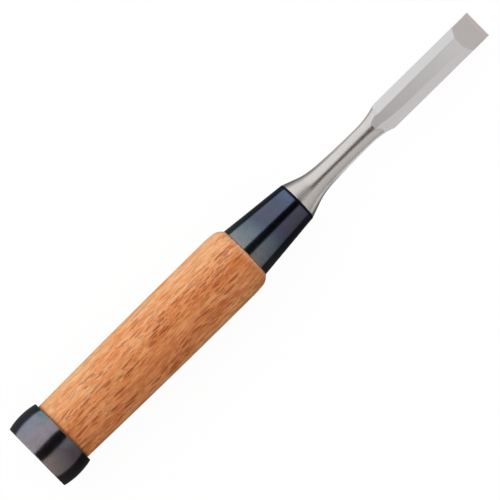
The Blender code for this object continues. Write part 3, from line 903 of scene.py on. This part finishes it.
def steel_material():
    m = Nodes("hard_steel")
    n2 = m.noise(m.stretch(3.0, 2.0, 2.0, (2, 6, 1)), 4, 0.6)
    scratch = m.noise(m.stretch(6.0, 0.08, 0.08, (4, 3, 3)), 3, 0.6)
    # warm tone on the honed bevel only, neutral grey along the sides and the back
    geo = m.tree.nodes.new("ShaderNodeNewGeometry")
    honed = m.ramp(m.separate(geo.outputs["True Normal"])[2], 0.2, 0.4)
    sides = m.mix(n2, (0.640, 0.632, 0.636), (0.690, 0.682, 0.686))
    colour = m.mix(honed, sides, m.mix(n2, (0.690, 0.598, 0.598), (0.740, 0.648, 0.648)))
    # the hollow keeps a darker skin, the lands are honed bright
    inside = m.ramp(m.z, BACK + 0.004, BACK + 0.02)
    under = m.ramp(m.z, BACK + 0.42, BACK + 0.47, 1.0, 0.0)
    span = m.ramp(m.math("ABSOLUTE", m.y), 5.0, 5.2, 1.0, 0.0)
    not_edge = m.ramp(m.x, 230.9, 231.0, 1.0, 0.0)
    hollow = m.math("MULTIPLY", m.math("MULTIPLY", inside, under), m.math("MULTIPLY", span, not_edge))
    colour = m.mix(hollow, colour, (0.25, 0.245, 0.25))
    rough = m.math("MULTIPLY_ADD", hollow, 0.10, 0.34)
    rough = m.math("ADD", rough, m.math("MULTIPLY_ADD", n2, 0.06, -0.03))
    normal = m.bump(scratch, 0.08, 0.00002)
    return m.finish(colour, rough, normal, 1.0)


# ----------------------------------------------------------------------- build
hoop = build_hoop()
ferrule = build_ferrule()
handle = build_handle()
body = build_blade_body()
steel = build_cutting_steel()

for obj, mat in ((hoop, hoop_material()), (ferrule, ferrule_material()), (handle, oak_material()),
                 (body, iron_material()), (steel, steel_material())):
    obj.data.materials.clear()
    obj.data.materials.append(mat)

# ------------------------------------------------------------- floor and light
scene = bpy.context.scene
lowest = CAD_BOX[0][2]
bpy.ops.mesh.primitive_grid_add(x_subdivisions=8, y_subdivisions=8, size=12.0,
                                location=(0.1, 0.0, lowest - 0.0004))
floor = bpy.context.object
floor.name = "floor"
fm = bpy.data.materials.new("pale_floor")
fm.use_nodes = True
ft = fm.node_tree
ft.nodes.clear()
fo = ft.nodes.new("ShaderNodeOutputMaterial")
fd = ft.nodes.new("ShaderNodeBsdfDiffuse")
fd.inputs["Color"].default_value = (0.9, 0.9, 0.9, 1)
fe = ft.nodes.new("ShaderNodeEmission")
fe.inputs["Strength"].default_value = 1.03
fx = ft.nodes.new("ShaderNodeMixShader")
fx.inputs[0].default_value = 0.93
ft.links.new(fd.outputs[0], fx.inputs[1])
ft.links.new(fe.outputs[0], fx.inputs[2])
ft.links.new(fx.outputs[0], fo.inputs[0])
floor.data.materials.append(fm)
floor.visible_glossy = False
floor.visible_diffuse = False
floor.visible_shadow = False


def build_bounce():
    """White card on the table under the neck and blade, seen only in reflections."""
    bpy.ops.mesh.primitive_grid_add(x_subdivisions=12, y_subdivisions=12, size=1.0,
                                    location=(0.196, 0.0, lowest + 0.0002))
    card = bpy.context.object
    card.name = "bounce_card"
    card.scale = (0.112, 0.190, 1.0)
    cm = bpy.data.materials.new("bounce_card")
    cm.use_nodes = True
    t = cm.node_tree
    t.nodes.clear()
    out = t.nodes.new("ShaderNodeOutputMaterial")
    em = t.nodes.new("ShaderNodeEmission")
    clear = t.nodes.new("ShaderNodeBsdfTransparent")
    mix = t.nodes.new("ShaderNodeMixShader")
    geo = t.nodes.new("ShaderNodeNewGeometry")
    sep = t.nodes.new("ShaderNodeSeparateXYZ")
    t.links.new(geo.outputs["Position"], sep.inputs[0])
    level = t.nodes.new("ShaderNodeMapRange")
    t.links.new(sep.outputs[1], level.inputs["Value"])
    level.inputs["From Min"].default_value = -0.012
    level.inputs["From Max"].default_value = 0.012
    level.inputs["To Min"].default_value = 0.98
    level.inputs["To Max"].default_value = 0.58
    t.links.new(level.outputs[0], em.inputs["Strength"])
    fade = t.nodes.new("ShaderNodeMapRange")
    fade.interpolation_type = "SMOOTHSTEP"
    t.links.new(sep.outputs[0], fade.inputs["Value"])
    fade.inputs["From Min"].default_value = 0.146
    fade.inputs["From Max"].default_value = 0.164
    t.links.new(fade.outputs[0], mix.inputs[0])
    t.links.new(clear.outputs[0], mix.inputs[1])
    t.links.new(em.outputs[0], mix.inputs[2])
    t.links.new(mix.outputs[0], out.inputs[0])
    card.data.materials.append(cm)
    card.visible_camera = False
    card.visible_diffuse = False
    card.visible_shadow = False
    card.visible_transmission = False


build_bounce()


def build_world():
    """A light tent: a long soft panel on each side of the lens, a narrow dark slot
    between them for the lens, closed at its far ends, and a dim lower half."""
    w = bpy.data.worlds.new("light_tent")
    scene.world = w
    w.use_nodes = True
    t = w.node_tree
    t.nodes.clear()
    link = t.links.new

    def put(s, v):
        if isinstance(v, bpy.types.NodeSocket):
            link(v, s)
        else:
            s.default_value = v

    def math_(op, a, b=None, c=None):
        n = t.nodes.new("ShaderNodeMath")
        n.operation = op
        put(n.inputs[0], a)
        if b is not None:
            put(n.inputs[1], b)
        if c is not None:
            put(n.inputs[2], c)
        return n.outputs[0]

    def ramp(v, lo, hi, a=0.0, b=1.0, kind="SMOOTHSTEP"):
        n = t.nodes.new("ShaderNodeMapRange")
        n.interpolation_type = kind
        put(n.inputs["Value"], v)
        n.inputs["From Min"].default_value = lo
        n.inputs["From Max"].default_value = hi
        n.inputs["To Min"].default_value = a
        n.inputs["To Max"].default_value = b
        return n.outputs[0]

    tc = t.nodes.new("ShaderNodeTexCoord")
    sep = t.nodes.new("ShaderNodeSeparateXYZ")
    link(tc.outputs["Generated"], sep.inputs[0])
    x, y, z = sep.outputs
    phi = math_("MULTIPLY", math_("ARCTAN2", y, z), 180 / math.pi)
    far = ramp(x, 0.50, 0.72)
    inner = math_("ADD", math_("MULTIPLY", ramp(phi, 13.4, 16.0), math_("SUBTRACT", 1.0, far)),
                  math_("MULTIPLY", ramp(phi, 2.0, 58.0), far))
    left = math_("MULTIPLY", inner, ramp(phi, 102.0, 109.0, 1.0, 0.0))
    nphi = math_("MULTIPLY", phi, -1.0)
    right = math_("MULTIPLY", ramp(nphi, 19.4, 22.0), ramp(nphi, 90.0, 98.0, 1.0, 0.0))
    right_level = ramp(nphi, 15.0, 95.0, 0.86, 0.58, "LINEAR")
    left_level = math_("MULTIPLY_ADD", far, -0.14, 1.25)
    absphi = math_("ABSOLUTE", phi)
    slot = math_("MULTIPLY", ramp(phi, 13.4, 16.0, 1.0, 0.0), ramp(nphi, 19.4, 22.0, 1.0, 0.0))
    close = math_("MAXIMUM", ramp(x, 0.60, 0.84), ramp(x, -0.62, -0.80))
    slot_level = math_("MULTIPLY_ADD", close, 0.78, 0.02)
    below = ramp(absphi, 96.0, 106.0)
    low = ramp(phi, -150.0, 150.0, 0.055, 0.11, "LINEAR")

    def tint(level, colour):
        n = t.nodes.new("ShaderNodeEmission")
        put(n.inputs["Strength"], level)
        n.inputs["Color"].default_value = (*colour, 1)
        return n.outputs[0]

    def add(a, b):
        n = t.nodes.new("ShaderNodeAddShader")
        link(a, n.inputs[0])
        link(b, n.inputs[1])
        return n.outputs[0]

    light = tint(math_("MULTIPLY", left, left_level), (1.0, 1.0, 1.0))
    light = add(light, tint(math_("MULTIPLY", right, right_level), (1.0, 0.975, 0.955)))
    light = add(light, tint(math_("MULTIPLY", slot, slot_level), (1.0, 1.0, 1.0)))
    light = add(light, tint(math_("MULTIPLY", below, low), (1.0, 1.0, 1.0)))
    white = tint(1.0, (1.0, 1.0, 1.0))
    lp = t.nodes.new("ShaderNodeLightPath")
    mix = t.nodes.new("ShaderNodeMixShader")
    link(lp.outputs["Is Camera Ray"], mix.inputs[0])
    link(light, mix.inputs[1])
    link(white, mix.inputs[2])
    out = t.nodes.new("ShaderNodeOutputWorld")
    link(mix.outputs[0], out.inputs[0])


build_world()

# --------------------------------------------------------------------- camera
CAM_TILT = 3.4          # degrees between the view and the handle's normal, at the centre
CAM_ROLL = 44.52        # the axis' angle in the picture
CAM_DIST = 1.8
CAM_LENS = 344.9
CENTRE = (111.56, -0.55)   # point of the XY plane in the middle of the picture, mm

cam = bpy.data.cameras.new("camera")
cam.lens = CAM_LENS
cam.sensor_width = 36.0
cam.clip_start = 0.01
cam.clip_end = 100.0
cam_obj = bpy.data.objects.new("camera", cam)
scene.collection.objects.link(cam_obj)
th = math.radians(CAM_TILT)
b = Vector((-math.sin(th), 0, math.cos(th)))
a = Vector((math.cos(th), 0, math.sin(th)))
n = b.cross(a)
ro = math.radians(CAM_ROLL)
right = a * math.cos(ro) - n * math.sin(ro)
up = a * math.sin(ro) + n * math.cos(ro)
rot = Matrix((right, up, b)).transposed()
target = Vector((CENTRE[0] * MM, CENTRE[1] * MM, 0))
cam_obj.matrix_world = Matrix.Translation(target + b * CAM_DIST) @ rot.to_4x4()
scene.camera = cam_obj

scene.view_settings.view_transform = "Standard"
scene.view_settings.look = "None"
scene.view_settings.exposure = 0.0
scene.view_settings.gamma = 1.0
